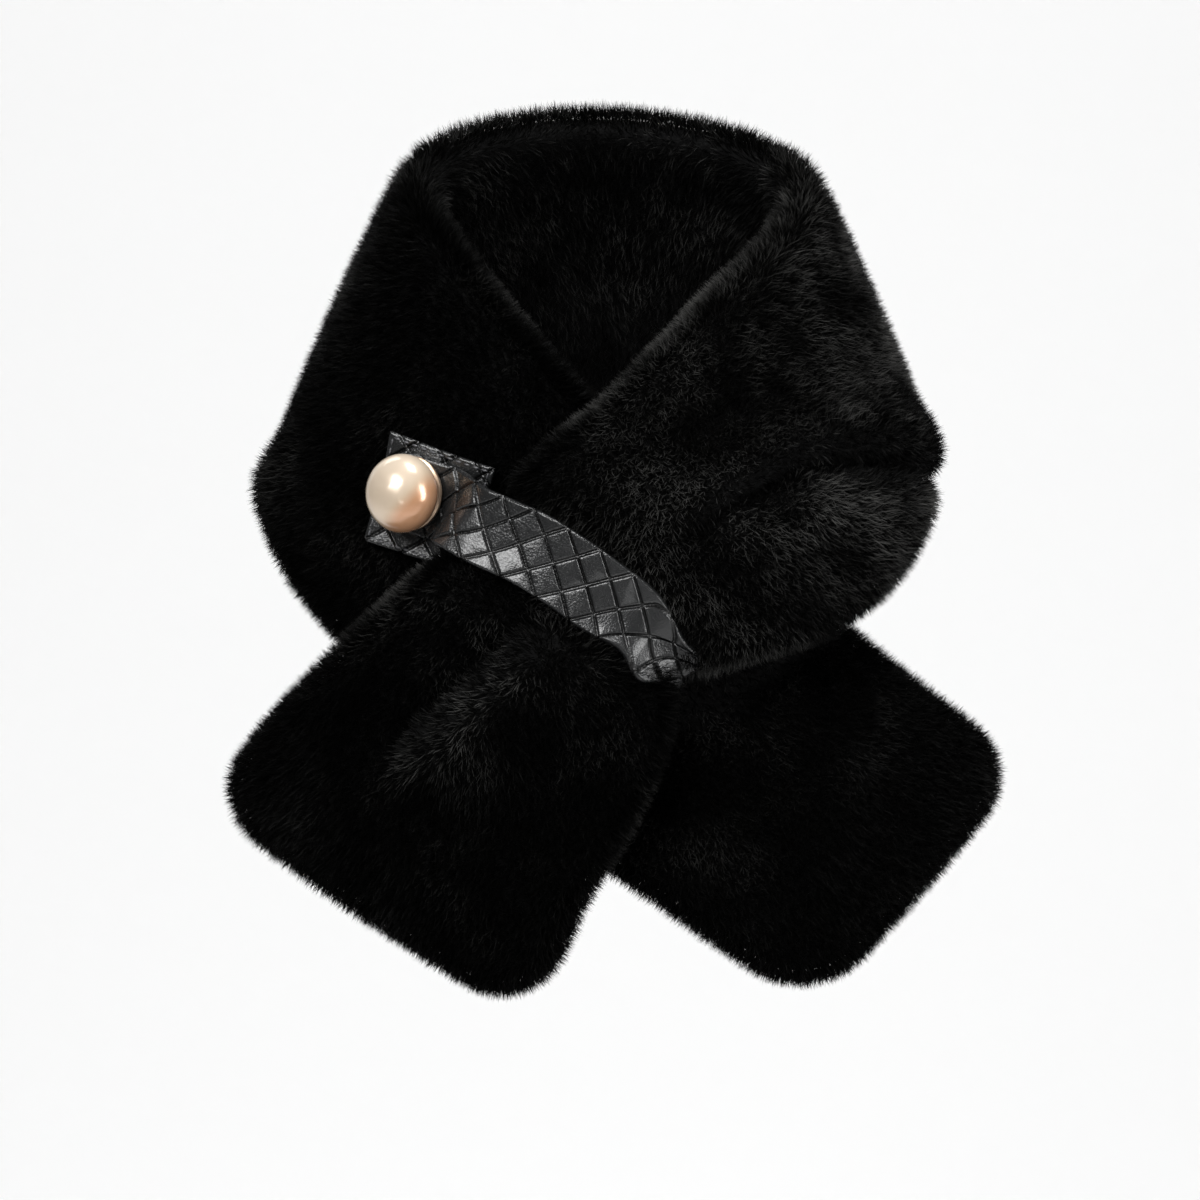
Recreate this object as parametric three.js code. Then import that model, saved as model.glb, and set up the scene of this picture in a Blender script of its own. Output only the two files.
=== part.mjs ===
// A fur collar wrap: one straight band of plush, worn round a neck, with pile on both faces.
// The band goes up from the tail on the wearer's left chest, round the right side of the neck, round the
// nape and down the left side, and crosses over itself. A leather strap goes round the crossing band. It is
// closed by a pearl button on a leather patch. The neck is an open hollow.
// Millimetres, +Z up, the wearer looks along -Y. The origin is the middle of the neck at its root.
import * as THREE from "three";
import { mergeVertices } from "three/addons/utils/BufferGeometryUtils.js";

// The band
const BAND_THICKNESS = 22; // from pile tip to pile tip
const EDGE_ROUNDING = 12; // how far in from an edge the band reaches its full thickness
const CORNER_RADIUS = 28; // at the four corners of the tails
const EDGE_COLUMNS = 4; // of the mesh, over each rounded edge
const FLAT_COLUMNS = 15; // of the mesh, between the rounded edges
const SEAM_GAP = 0.85; // between two stretches, on their middle line
const SEAT_GAP = 1; // between the pile's flat facets and the leather on it

// The leather strap and patch, embossed with a lattice of square cells that stand on their corners
const STRAP_WIDTH = 27;
const STRAP_THICKNESS = 2;
const STRAP_LENGTH = 158;
const PATCH_THICKNESS = 1.8;
const PATCH_STEPS = 11; // the patch's side, in quarters of the lattice's pitch
const LATTICE_PITCH = 13.5; // between two crossings of the grooves
const LATTICE_RELIEF = 0.6;
const LATTICE_STEEPNESS = 1.5; // of a groove's walls

// The button: a pearl dome on a metal base
const PEARL_DIAMETER = 26.4;
const PEARL_FOOT_DIAMETER = 22;
const PEARL_HEIGHT = 17;
const BASE_DIAMETER = 25.2;
const BASE_THICKNESS = 1.5;
const BASE_CHAMFER = 0.3;
const PEARL_WIDEST = 5; // above its foot
const BUTTON_SIDES = 36;

// The wrap as it is worn, one section across the band in each row. neck is the end of the section at the
// neck edge, hem its end at the shoulder edge, and belly is how far its middle stands out.
const SECTIONS = [
  { at: "end of the under tail", neck: [146, -42, -94], hem: [69, -122, -157], belly: 5 },
  { at: "under tail", neck: [118, -58, -66], hem: [37, -124, -134], belly: 5 },
  { at: "under tail", neck: [90, -68, -39], hem: [6, -119, -113], belly: 4 },
  { at: "under the crossing", neck: [62, -73, -11], hem: [-26, -111, -94], belly: 3 },
  { at: "under the crossing", neck: [30, -74, 20], hem: [-58, -96, -72], belly: 3 },
  { at: "front of the right side", neck: [-2, -70, 47], hem: [-88, -76, -46], belly: 5 },
  { at: "right side", neck: [-30, -59, 76], hem: [-112, -51, -24], belly: 6 },
  { at: "right side", neck: [-52, -37, 98], hem: [-120, -22, -9], belly: 5 },
  { at: "right shoulder", neck: [-65, -6, 111], hem: [-116, 18, -6], belly: 3 },
  { at: "right of the nape", neck: [-57, 33, 118], hem: [-102, 60, -14], belly: 3 },
  { at: "nape", neck: [-32, 55, 121], hem: [-62, 90, -17], belly: 3 },
  { at: "middle of the nape", neck: [0, 64, 121], hem: [0, 100, -20], belly: 4 },
  { at: "nape", neck: [32, 55, 118], hem: [60, 90, -17], belly: 3 },
  { at: "left of the nape", neck: [55, 33, 115], hem: [97, 61, -12], belly: 3 },
  { at: "left shoulder", neck: [62, -6, 108], hem: [109, 22, -2], belly: 2 },
  { at: "left side", neck: [50, -39, 99], hem: [109, -11, 2], belly: 2 },
  { at: "left side", neck: [31, -62, 87], hem: [106, -42, -6], belly: 4 },
  { at: "front of the left side", neck: [12, -81, 72], hem: [97, -73, -17], belly: 6 },
  { at: "over the crossing", neck: [-8, -93, 55], hem: [77, -95, -26], belly: 6 },
  { at: "over the crossing", neck: [-30, -97, 38], hem: [51, -108, -31], belly: 5 },
  { at: "under the strap", neck: [-53, -96, 11], hem: [21, -115, -35], belly: 5 },
  { at: "over tail", neck: [-76, -98, -10], hem: [20, -124, -56], belly: 6 },
  { at: "over tail", neck: [-98, -97, -32], hem: [9, -133, -81], belly: 6 },
  { at: "over tail", neck: [-122, -81, -64], hem: [-9, -140, -112], belly: 7 },
  { at: "end of the over tail", neck: [-144, -63, -99], hem: [-27, -138, -156], belly: 5 },
];

// Folds of the band. path runs through [length along the band, distance from the neck edge]. To the left
// of the path the cloth stands up by rise and flattens out over spread. To its right it falls away within
// drop and sinks by dip. The fold grows over its first fadeIn and dies over its last fadeOut.
const FOLDS = [
  {
    name: "crease across the left side",
    path: [[598, 122], [620, 99], [640, 82], [665, 70], [690, 60], [713, 55], [736, 51], [750, 56]],
    rise: 4, spread: 17, drop: 11, dip: 5, fadeIn: 34, fadeOut: 45,
  },
  {
    name: "swelling under the crease",
    path: [[752, 89], [724, 78], [698, 82], [670, 94], [648, 113], [638, 136]],
    rise: 4, spread: 13, drop: 17, dip: 0, fadeIn: 30, fadeOut: 10,
  },
  {
    name: "pleat down the over tail",
    path: [[868, 52], [845, 51], [818, 54], [805, 51], [794, 48]],
    rise: 8, spread: 34, drop: 7, dip: 3, fadeIn: 40, fadeOut: 16,
  },
  {
    name: "hollow beside the pleat",
    path: [[875, 20], [850, 24], [825, 20], [800, 12]],
    rise: -2, spread: 12, drop: 10, dip: 0, fadeIn: 25, fadeOut: 15,
  },
  {
    name: "shoulder fold",
    path: [[298, 146], [292, 112], [285, 84]],
    rise: 3, spread: 30, drop: 8, dip: 2, fadeIn: 2, fadeOut: 30,
  },
  {
    name: "trough right of the nape",
    path: [[392, 10], [400, 60], [396, 110]],
    rise: -3, spread: 14, drop: 10, dip: 0, fadeIn: 20, fadeOut: 40,
  },
  {
    name: "trough left of the nape",
    path: [[548, 5], [538, 50], [545, 100]],
    rise: -4, spread: 12, drop: 14, dip: 0, fadeIn: 10, fadeOut: 40,
  },
  {
    name: "swelling of the under tail",
    path: [[20, 70], [60, 84], [105, 96]],
    rise: 3, spread: 22, drop: 20, dip: 0, fadeIn: 30, fadeOut: 30,
  },
];

// The middle of the strap. along and across are the place on the band under it, fromHem the distance from
// the hem instead of across, lean turns the strap's width from the band's length, and lift is its
// distance from the pile of the outer face (face 1), the hem's rim (face 0) or the inner face (face -1).
// wide is the part of its width that is left where the hem squeezes it.
const PEARL_PLACE = { along: 229, across: 67 };
const PATCH_PLACE = { along: 223, across: 66, turn: 209 };
const STRAP_LINE = { neck: 773, hem: 779 };
const STRAP_PRESS = { part: 0.34, atNeck: 0.18, neckReach: 42, reach: 22 };
const PATCH_PRESS = { part: 0.25, reach: 25 };
const ON_PATCH = SEAT_GAP + PATCH_THICKNESS + LATTICE_RELIEF + SEAT_GAP;
const STRAP_ROUTE = [
  { at: "past the pearl", face: 1, along: 241, across: 73, lean: -67, lift: ON_PATCH },
  { at: "under the pearl", face: 1, ...PEARL_PLACE, lean: -67, lift: ON_PATCH },
  { at: "on the patch", face: 1, along: 218, across: 61, lean: -67, lift: ON_PATCH + 0.3 },
  { at: "over the neck edge", face: 1, along: 779, across: -1, lean: 185, lift: 4 },
  { at: "on the over band", face: 1, along: 777, across: 10, lean: 195, lift: 1 },
  { at: "on the over band", face: 1, along: 774, across: 23, lean: 199, lift: SEAT_GAP },
  { at: "on the over band", face: 1, along: 773, across: 36, lean: 199, lift: SEAT_GAP },
  { at: "on the over band", face: 1, along: 773, across: 52, lean: 199, lift: SEAT_GAP },
  { at: "on the over band", face: 1, along: 775, across: 68, lean: 192, lift: SEAT_GAP, wide: 0.97 },
  { at: "on the over band", face: 1, along: 776, fromHem: 16, lean: 180, lift: 1.6, wide: 0.86 },
  { at: "over the hem", face: 1, along: 776, fromHem: 4, lean: 180, lift: 2.4, wide: 0.74 },
  { at: "round the hem", face: 0, along: 776, fromHem: -2, lean: 180, lift: 0, wide: 0.7 },
  { at: "behind the hem", face: -1, along: 776, fromHem: 4, lean: 180, lift: 2, wide: 0.74 },
  { at: "between the bands", face: -1, along: 776, fromHem: 16, lean: 180, lift: SEAT_GAP, wide: 0.86 },
  { at: "sewn end", face: -1, along: 776, fromHem: 30, lean: 180, lift: SEAT_GAP, wide: 0.9 },
];

const smooth = (x) => {
  const t = Math.min(Math.max(x, 0), 1);
  return t * t * (3 - 2 * t);
};
const bell = (x) => Math.exp(-x * x);

const railOf = (edge) =>
  new THREE.CatmullRomCurve3(SECTIONS.map((section) => new THREE.Vector3(...section[edge])));
const neckRail = railOf("neck");
const hemRail = railOf("hem");
const bellyRail = new THREE.CatmullRomCurve3(
  SECTIONS.map((section, i) => new THREE.Vector3(i, section.belly, 0)),
);

// The band's middle surface without folds: share is the part of the table, across the part of the width.
function plainPoint(share, across) {
  const step = 1e-3;
  const neck = neckRail.getPoint(share);
  const hem = hemRail.getPoint(share);
  const before = Math.max(share - step, 0);
  const after = Math.min(share + step, 1);
  const along = neckRail.getPoint(after).add(hemRail.getPoint(after));
  along.sub(neckRail.getPoint(before)).sub(hemRail.getPoint(before));
  const outward = along.cross(hem.clone().sub(neck)).normalize();
  const stand = 4 * across * (1 - across) * bellyRail.getPoint(share).y;
  return neck.lerp(hem, across).addScaledVector(outward, stand);
}

// Lengths along the band's middle line, so that places on it are given in millimetres.
const LENGTH_STEPS = 1000;
const lengths = [0];
for (let i = 1; i <= LENGTH_STEPS; i++) {
  const last = plainPoint((i - 1) / LENGTH_STEPS, 0.5);
  lengths.push(lengths[i - 1] + last.distanceTo(plainPoint(i / LENGTH_STEPS, 0.5)));
}
const BAND_LENGTH = lengths[LENGTH_STEPS];

function shareAt(length) {
  const wanted = Math.min(Math.max(length, 0), BAND_LENGTH);
  const i = Math.max(lengths.findIndex((l) => l >= wanted), 1);
  const part = (wanted - lengths[i - 1]) / (lengths[i] - lengths[i - 1]);
  return (i - 1 + part) / LENGTH_STEPS;
}

function widthAt(length) {
  const share = shareAt(length);
  return neckRail.getPoint(share).distanceTo(hemRail.getPoint(share));
}

// How high one fold stands at a place on the band.
function foldHeight(fold, length, distance) {
  let nearest = { gap: Infinity, signed: 0, run: 0 };
  let run = 0;
  for (let i = 1; i < fold.path.length; i++) {
    const [a, b] = [fold.path[i - 1], fold.path[i]];
    const [ux, uy] = [b[0] - a[0], b[1] - a[1]];
    const size = Math.hypot(ux, uy);
    const t = ((length - a[0]) * ux + (distance - a[1]) * uy) / size ** 2;
    const held = Math.min(Math.max(t, 0), 1);
    const [dx, dy] = [length - a[0] - held * ux, distance - a[1] - held * uy];
    const gap = Math.hypot(dx, dy);
    if (gap < nearest.gap) {
      const side = Math.sign(uy * dx - ux * dy);
      nearest = { gap, signed: side * gap, run: run + held * size };
    }
    run += size;
  }
  const d = nearest.signed;
  const shape = d > 0 ? bell(d / fold.spread) : bell(d / fold.drop);
  const sink = d > 0 ? 0 : fold.dip * (1 - bell(d / fold.drop)) * bell(d / (3 * fold.drop));
  const fade = smooth(nearest.run / fold.fadeIn) * smooth((run - nearest.run) / fold.fadeOut);
  return fade * (fold.rise * shape - sink);
}

// A point of the middle surface with its folds. distance is in millimetres from the neck edge.
function middlePoint(length, distance) {
  const share = shareAt(length);
  const across = distance / widthAt(length);
  const step = 1.5;
  const before = plainPoint(shareAt(length - step), across);
  const after = plainPoint(shareAt(length + step), across);
  const lower = plainPoint(share, across - 0.02);
  const higher = plainPoint(share, across + 0.02);
  const outward = after.sub(before).cross(higher.sub(lower)).normalize();
  const height = FOLDS.reduce((sum, fold) => sum + foldHeight(fold, length, distance), 0);
  return plainPoint(share, across).addScaledVector(outward, height);
}

// The direction that the band's outer face looks in, folds and all.
function outwardAt(length, distance) {
  const step = 2;
  const start = Math.max(length - step, 0);
  const end = Math.min(length + step, BAND_LENGTH);
  const along = middlePoint(end, distance).sub(middlePoint(start, distance));
  const over = middlePoint(length, distance + step).sub(middlePoint(length, distance - step));
  return along.cross(over).normalize();
}

// The strap and the patch press the pile flat under them. Each takes a part of the band's thickness, over a
// reach to either side of its middle. The strap presses harder near the neck edge.
function pressed(length, distance) {
  const line = THREE.MathUtils.lerp(STRAP_LINE.neck, STRAP_LINE.hem, (distance / widthAt(length)) ** 2);
  const harder = STRAP_PRESS.atNeck * smooth((STRAP_PRESS.neckReach - distance) / STRAP_PRESS.neckReach);
  const strap = (STRAP_PRESS.part + harder) * Math.exp(-(((length - line) / STRAP_PRESS.reach) ** 4));
  const fromPatch = Math.hypot(length - PATCH_PLACE.along, distance - PATCH_PLACE.across);
  return 1 - strap - PATCH_PRESS.part * Math.exp(-((fromPatch / PATCH_PRESS.reach) ** 4));
}

// The distance from the band's outline, with the tails' rounded corners.
function fromOutline(length, distance) {
  const fromEdge = Math.min(distance, widthAt(length) - distance);
  const fromEnd = Math.min(length, BAND_LENGTH - length);
  if (fromEnd < CORNER_RADIUS && fromEdge < CORNER_RADIUS) {
    return CORNER_RADIUS - Math.hypot(CORNER_RADIUS - fromEnd, CORNER_RADIUS - fromEdge);
  }
  return Math.min(fromEdge, fromEnd);
}

function halfThickness(length, distance) {
  const inward = Math.min(Math.max(fromOutline(length, distance) / EDGE_ROUNDING, 0), 1);
  const rounded = Math.sqrt(1 - (1 - inward) ** 2);
  return (BAND_THICKNESS / 2) * rounded * pressed(length, distance);
}

// A point of the band's outer face (1), inner face (-1) or middle (0), lifted off the pile.
function facePoint(length, distance, face, lift = 0) {
  const reach = halfThickness(length, distance) + lift;
  const outward = outwardAt(length, distance);
  return middlePoint(length, distance).addScaledVector(outward, face * reach);
}

// Distances over a rounded edge, close together at its rim.
const edgeSteps = [];
for (let i = 0; i <= EDGE_COLUMNS; i++) {
  edgeSteps.push(EDGE_ROUNDING * (1 - Math.cos(((i / EDGE_COLUMNS) * Math.PI) / 2)));
}

// The places of the mesh's columns, from the neck edge to the hem, narrower at a tail's rounded corners.
function columnsAt(length) {
  const width = widthAt(length);
  const fromEnd = Math.min(length, BAND_LENGTH - length, CORNER_RADIUS);
  const cut = CORNER_RADIUS - Math.sqrt(CORNER_RADIUS ** 2 - (CORNER_RADIUS - fromEnd) ** 2);
  const flat = width - 2 * EDGE_ROUNDING;
  const list = [...edgeSteps];
  for (let i = 1; i < FLAT_COLUMNS; i++) list.push(EDGE_ROUNDING + (flat * i) / FLAT_COLUMNS);
  list.push(...edgeSteps.map((x) => width - x).reverse());
  return list.map((x) => cut + (x * (width - 2 * cut)) / width);
}

// The places of the mesh's rows between two lengths.
function rowsBetween(from, to, step) {
  const start = from === 0 ? EDGE_ROUNDING : from;
  const stop = to === BAND_LENGTH ? to - EDGE_ROUNDING : to;
  const count = Math.round((stop - start) / step);
  const rows = from === 0 ? edgeSteps.slice(0, -1) : [];
  for (let i = 0; i <= count; i++) rows.push(start + ((stop - start) * i) / count);
  if (to === BAND_LENGTH) rows.push(...edgeSteps.slice(0, -1).map((x) => to - x).reverse());
  return rows;
}

// A closed solid between an outer and an inner sheet of points, both in rows of the same length.
function slab(name, outer, inner, material) {
  const corners = [];
  const quad = (a, b, c, d) => corners.push(a, b, c, a, c, d);
  const rows = outer.length - 1;
  const columns = outer[0].length - 1;
  for (let j = 0; j < rows; j++) {
    for (let i = 0; i < columns; i++) {
      const odd = (i + j) % 2 === 1;
      const o = [outer[j][i], outer[j + 1][i], outer[j + 1][i + 1], outer[j][i + 1]];
      const n = [inner[j][i], inner[j][i + 1], inner[j + 1][i + 1], inner[j + 1][i]];
      quad(...(odd ? [o[1], o[2], o[3], o[0]] : o));
      quad(...(odd ? [n[1], n[2], n[3], n[0]] : n));
    }
    quad(outer[j][0], inner[j][0], inner[j + 1][0], outer[j + 1][0]);
    quad(outer[j + 1][columns], inner[j + 1][columns], inner[j][columns], outer[j][columns]);
  }
  for (let i = 0; i < columns; i++) {
    quad(outer[0][i], outer[0][i + 1], inner[0][i + 1], inner[0][i]);
    quad(outer[rows][i], inner[rows][i], inner[rows][i + 1], outer[rows][i + 1]);
  }
  const merged = mergeVertices(new THREE.BufferGeometry().setFromPoints(corners), 1e-3);
  const index = merged.index.array;
  const kept = [];
  for (let i = 0; i < index.length; i += 3) {
    const [a, b, c] = [index[i], index[i + 1], index[i + 2]];
    if (a !== b && b !== c && c !== a) kept.push(a, b, c);
  }
  merged.setIndex(kept);
  const mesh = new THREE.Mesh(merged, material);
  mesh.name = name;
  return mesh;
}

const fur = new THREE.MeshStandardMaterial({ color: 0x0b0b0c, roughness: 0.95, metalness: 0 });
const leather = new THREE.MeshStandardMaterial({ color: 0x16181a, roughness: 0.4, metalness: 0 });
const pearlCoat = new THREE.MeshStandardMaterial({ color: 0xeadfd2, roughness: 0.2, metalness: 0 });
const metal = new THREE.MeshStandardMaterial({ color: 0xc9b8a2, roughness: 0.35, metalness: 0.8 });

const wrap = new THREE.Group();

// The band in five stretches: to is where each ends, step the distance between two rows of its mesh.
const STRETCHES = [
  { name: "under_tail", to: 150, step: 12 },
  { name: "right_side", to: 320, step: 10 },
  { name: "nape", to: 560, step: 13 },
  { name: "left_side", to: STRAP_LINE.neck, step: 6.5 },
  { name: "over_tail", to: BAND_LENGTH, step: 6.5 },
];
let seam = 0;
for (const { name, to, step } of STRETCHES) {
  const from = seam === 0 ? 0 : seam + SEAM_GAP / 2;
  const end = to === BAND_LENGTH ? to : to - SEAM_GAP / 2;
  const rows = rowsBetween(from, end, step);
  const sheet = (face) => rows.map((l) => columnsAt(l).map((d) => facePoint(l, d, face)));
  wrap.add(slab(name, sheet(1), sheet(-1), fur));
  seam = to;
}

// The embossed lattice: grooves at 45 degrees to the piece, with a flat-topped cell between them.
function lattice(x, y) {
  const cell = (v) => Math.abs(Math.sin((Math.PI * v) / LATTICE_PITCH));
  return LATTICE_RELIEF * Math.min(1, LATTICE_STEEPNESS * Math.min(cell(x + y), cell(x - y)));
}

// The patch lies on the right side's outer face.
const quarter = LATTICE_PITCH / 4;
const patchSheet = (liftAt) => {
  const turn = THREE.MathUtils.degToRad(PATCH_PLACE.turn);
  const rows = [];
  for (let j = 0; j <= PATCH_STEPS; j++) {
    const row = [];
    for (let i = 0; i <= PATCH_STEPS; i++) {
      const x = (j - PATCH_STEPS / 2) * quarter;
      const y = (i - PATCH_STEPS / 2) * quarter;
      const along = PATCH_PLACE.along + x * Math.cos(turn) - y * Math.sin(turn);
      const across = PATCH_PLACE.across + x * Math.sin(turn) + y * Math.cos(turn);
      row.push(facePoint(along, across, 1, liftAt(j * quarter, i * quarter)));
    }
    rows.push(row);
  }
  return rows;
};
const patchTop = (x, y) => SEAT_GAP + PATCH_THICKNESS + lattice(x, y);
wrap.add(slab("patch", patchSheet(patchTop), patchSheet(() => SEAT_GAP), leather));

// One long edge of the strap, or its middle, offset from the route across the strap.
function strapRail(offset) {
  const pointAt = (place, aside) => {
    const turn = THREE.MathUtils.degToRad(place.lean);
    const length = place.along + aside * Math.cos(turn);
    const distance =
      place.fromHem === undefined
        ? place.across + aside * Math.sin(turn)
        : widthAt(length) - place.fromHem;
    return facePoint(length, distance, place.face, place.lift);
  };
  const points = STRAP_ROUTE.map((place) => {
    const aside = (place.wide ?? 1) * offset;
    const reached = pointAt(place, aside).distanceTo(pointAt(place, 0));
    return pointAt(place, reached > 0 ? (aside * Math.abs(aside)) / reached : 0);
  });
  return new THREE.CatmullRomCurve3(points, false, "centripetal");
}
const lowerRail = strapRail(-STRAP_WIDTH / 2);
const middleRail = strapRail(0);
const upperRail = strapRail(STRAP_WIDTH / 2);

// A point of the strap's under face. v goes from -1 at the lower edge to 1 at the upper edge.
function strapPoint(share, v) {
  const lower = lowerRail.getPoint(share).multiplyScalar((v * (v - 1)) / 2);
  const middle = middleRail.getPoint(share).multiplyScalar(1 - v * v);
  const upper = upperRail.getPoint(share).multiplyScalar((v * (v + 1)) / 2);
  return lower.add(middle).add(upper);
}

// The strap's shares of its route at even steps of its length.
const strapSteps = [0];
const STRAP_STEPS = 800;
for (let i = 1; i <= STRAP_STEPS; i++) {
  const last = middleRail.getPoint((i - 1) / STRAP_STEPS);
  strapSteps.push(strapSteps[i - 1] + last.distanceTo(middleRail.getPoint(i / STRAP_STEPS)));
}
const strapShare = (length) => {
  const i = Math.max(strapSteps.findIndex((l) => l >= length), 1);
  const part = (length - strapSteps[i - 1]) / (strapSteps[i] - strapSteps[i - 1]);
  return (i - 1 + part) / STRAP_STEPS;
};

// Its end under the pearl is round, and the lattice rises where the button's base ends.
const LATTICE_FADE = 3;
const half = STRAP_WIDTH / 2;
const strapLengths = [];
const ROUND_ROWS = 6;
for (let i = 0; i < ROUND_ROWS; i++) {
  strapLengths.push(half * (1 - Math.cos(((i / ROUND_ROWS) * Math.PI) / 2)));
}
for (let length = half; length < STRAP_LENGTH; length += quarter) strapLengths.push(length);

const strapSheet = (thickness, relief) =>
  strapLengths.map((length) => {
    const share = strapShare(length);
    const short = Math.min(length, half);
    const narrowing = Math.sqrt(half ** 2 - (half - short) ** 2) / half;
    const row = [];
    for (let y = -half; y <= half; y += quarter) {
      const v = (y / half) * narrowing;
      const ahead = strapPoint(Math.min(share + 2e-3, 1), v);
      const along = ahead.sub(strapPoint(Math.max(share - 2e-3, 0), v));
      const over = strapPoint(share, v + 0.05).sub(strapPoint(share, v - 0.05));
      const outward = along.cross(over).normalize();
      const past = length - half - BASE_DIAMETER / 2;
      const raised = relief * smooth(past / LATTICE_FADE) * lattice(length - half, y);
      row.push(strapPoint(share, v).addScaledVector(outward, thickness + raised));
    }
    return row;
  });
wrap.add(slab("strap", strapSheet(STRAP_THICKNESS, 1), strapSheet(0, 0), leather));

// The button stands on the strap's round end, square to the band.
function button(name, profile, lift, material) {
  const { along, across } = PEARL_PLACE;
  const points = profile.map(([x, y]) => new THREE.Vector2(x, y));
  const shape = new THREE.LatheGeometry(points, BUTTON_SIDES);
  const mesh = new THREE.Mesh(shape, material);
  mesh.name = name;
  mesh.position.copy(facePoint(along, across, 1, lift));
  mesh.quaternion.setFromUnitVectors(new THREE.Vector3(0, 1, 0), outwardAt(along, across));
  return mesh;
}
const baseLift = ON_PATCH + STRAP_THICKNESS + SEAT_GAP;
const baseRadius = BASE_DIAMETER / 2;
const baseProfile = [
  [0, 0],
  [baseRadius - BASE_CHAMFER, 0],
  [baseRadius, BASE_CHAMFER],
  [baseRadius, BASE_THICKNESS - BASE_CHAMFER],
  [baseRadius - BASE_CHAMFER, BASE_THICKNESS],
  [0, BASE_THICKNESS],
];
wrap.add(button("pearl_base", baseProfile, baseLift, metal));

// The dome bulges out from its foot to its widest ring, then closes over in a half ellipse.
const pearlRadius = PEARL_DIAMETER / 2;
const pearlProfile = [[0, 0]];
const footAngle = Math.acos(PEARL_FOOT_DIAMETER / PEARL_DIAMETER);
const DOME_ROWS = 10;
for (let i = 0; i <= DOME_ROWS; i++) {
  const angle = -footAngle + ((Math.PI / 2 + footAngle) * i) / DOME_ROWS;
  const depth = angle < 0 ? PEARL_WIDEST / Math.sin(footAngle) : PEARL_HEIGHT - PEARL_WIDEST;
  const radius = i === DOME_ROWS ? 0 : pearlRadius * Math.cos(angle);
  pearlProfile.push([radius, PEARL_WIDEST + depth * Math.sin(angle)]);
}
wrap.add(button("pearl", pearlProfile, baseLift + BASE_THICKNESS + SEAM_GAP, pearlCoat));

export default wrap;
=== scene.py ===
import math
from collections import namedtuple

import bmesh
import bpy
import numpy as np
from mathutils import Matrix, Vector


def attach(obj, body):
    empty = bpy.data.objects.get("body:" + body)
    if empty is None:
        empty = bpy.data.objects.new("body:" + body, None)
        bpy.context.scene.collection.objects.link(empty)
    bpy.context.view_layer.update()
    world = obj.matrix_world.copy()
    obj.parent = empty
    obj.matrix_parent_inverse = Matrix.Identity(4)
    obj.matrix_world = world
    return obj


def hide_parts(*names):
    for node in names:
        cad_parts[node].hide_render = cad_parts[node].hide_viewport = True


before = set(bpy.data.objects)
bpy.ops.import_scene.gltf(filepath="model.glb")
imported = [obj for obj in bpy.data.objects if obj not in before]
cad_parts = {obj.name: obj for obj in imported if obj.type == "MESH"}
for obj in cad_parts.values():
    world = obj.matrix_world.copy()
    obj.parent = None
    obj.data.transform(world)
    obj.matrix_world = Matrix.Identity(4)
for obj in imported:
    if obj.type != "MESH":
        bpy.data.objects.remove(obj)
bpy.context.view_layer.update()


# The plush band. It is an outer and an inner panel of short black plush, sewn round the edge and turned, so
# both faces and the edges carry pile. It is laid round the neck, its ends cross in front, and it keeps the
# creases of being worn.
#
# Lengths are in millimetres. A place on the band is its length from the end of the under tail, and its
# distance from the neck edge.
MM = 0.001
Section = namedtuple("Section", "at neck hem belly")
SECTIONS = [
    Section("end of the under tail", (146, -42, -94), (69, -122, -157), 5),
    Section("under tail", (118, -58, -66), (37, -124, -134), 5),
    Section("under tail", (90, -68, -39), (6, -119, -113), 4),
    Section("under the crossing", (62, -73, -11), (-26, -111, -94), 3),
    Section("under the crossing", (30, -74, 20), (-58, -96, -72), 3),
    Section("front of the right side", (-2, -70, 47), (-88, -76, -46), 5),
    Section("right side", (-30, -59, 76), (-112, -51, -24), 6),
    Section("right side", (-52, -37, 98), (-120, -22, -9), 5),
    Section("right shoulder", (-65, -6, 111), (-116, 18, -6), 3),
    Section("right of the nape", (-57, 33, 118), (-102, 60, -14), 3),
    Section("nape", (-32, 55, 121), (-62, 90, -17), 3),
    Section("middle of the nape", (0, 64, 121), (0, 100, -20), 4),
    Section("nape", (32, 55, 118), (60, 90, -17), 3),
    Section("left of the nape", (55, 33, 115), (97, 61, -12), 3),
    Section("left shoulder", (62, -6, 108), (109, 22, -2), 2),
    Section("left side", (50, -39, 99), (109, -11, 2), 2),
    Section("left side", (31, -62, 87), (106, -42, -6), 4),
    Section("front of the left side", (12, -81, 72), (97, -73, -17), 6),
    Section("over the crossing", (-8, -93, 55), (77, -95, -26), 6),
    Section("over the crossing", (-30, -97, 38), (51, -108, -31), 5),
    Section("under the strap", (-53, -96, 11), (21, -115, -35), 5),
    Section("over tail", (-76, -98, -10), (20, -124, -56), 6),
    Section("over tail", (-98, -97, -32), (9, -133, -81), 6),
    Section("over tail", (-122, -81, -64), (-9, -140, -112), 7),
    Section("end of the over tail", (-144, -63, -99), (-27, -138, -156), 5),
]

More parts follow.
